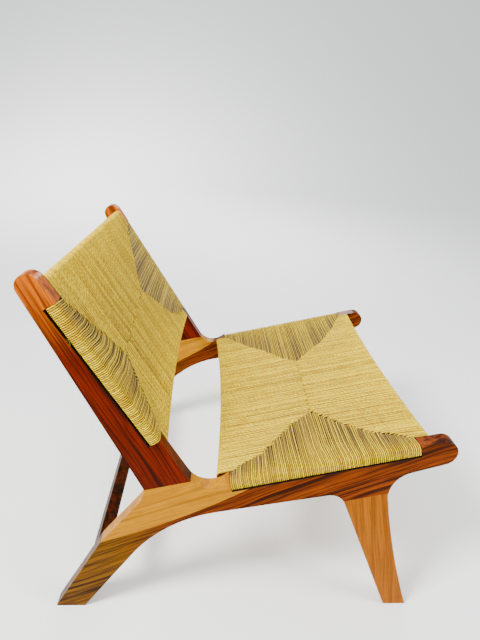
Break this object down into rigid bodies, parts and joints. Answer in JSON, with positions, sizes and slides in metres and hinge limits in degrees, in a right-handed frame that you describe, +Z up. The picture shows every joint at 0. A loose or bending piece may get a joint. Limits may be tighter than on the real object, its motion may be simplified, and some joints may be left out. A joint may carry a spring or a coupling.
{
  "type": "lounge chair",
  "caption": "Low wooden lounge chair with shaped board side frames, no armrests, and a reclined seat and back of rope wound over slotted strips and rounded cross rails.",
  "frame": {"origin": "Middle of the chair's bounding box, on the floor.", "axes": "+X is the front of the seat, +Y is the sitter's left, +Z is up."},
  "size_m": [0.7332, 0.653, 0.68],
  "materials": {
    "rail_wood": "brown orange hardwood with dark streaks, satin lacquer",
    "post_wood": "red brown rosewood with near black streaks, satin lacquer",
    "knee_wood": "yellow gold hardwood, fine grain, satin lacquer",
    "leg_wood": "honey hardwood with upright grain, satin lacquer",
    "cross_wood": "dark red brown hardwood, satin lacquer",
    "dowel_wood": "plain pale dowel",
    "rope": "two-ply twisted grass rope, golden straw, dry sheen",
    "tack_steel": "bright wire tack"
  },
  "bodies": {
    "root": {"side_plank_right": "rail_wood", "side_plank_left": "rail_wood", "knee_block_right": "knee_wood", "knee_block_left": "knee_wood", "back_post_right": "post_wood", "back_post_left": "post_wood", "front_leg_right": "leg_wood", "front_leg_left": "leg_wood", "post_dowels_right": "dowel_wood", "post_dowels_left": "dowel_wood", "leg_dowels_right": "dowel_wood", "leg_dowels_left": "dowel_wood", "seat_rear_rail": "cross_wood", "seat_front_rail": "cross_wood", "back_bottom_rail": "cross_wood", "back_top_rail": "cross_wood", "rear_stretcher": "cross_wood", "seat_rear_rail_dowels": "dowel_wood", "seat_front_rail_dowels": "dowel_wood", "back_bottom_rail_dowels": "dowel_wood", "back_top_rail_dowels": "dowel_wood", "stretcher_dowels": "dowel_wood", "seat_rope_tacks": "tack_steel", "back_rope_tacks": "tack_steel", "seat_weave": "rope", "back_weave": "rope"}
  },
  "joints": []
}
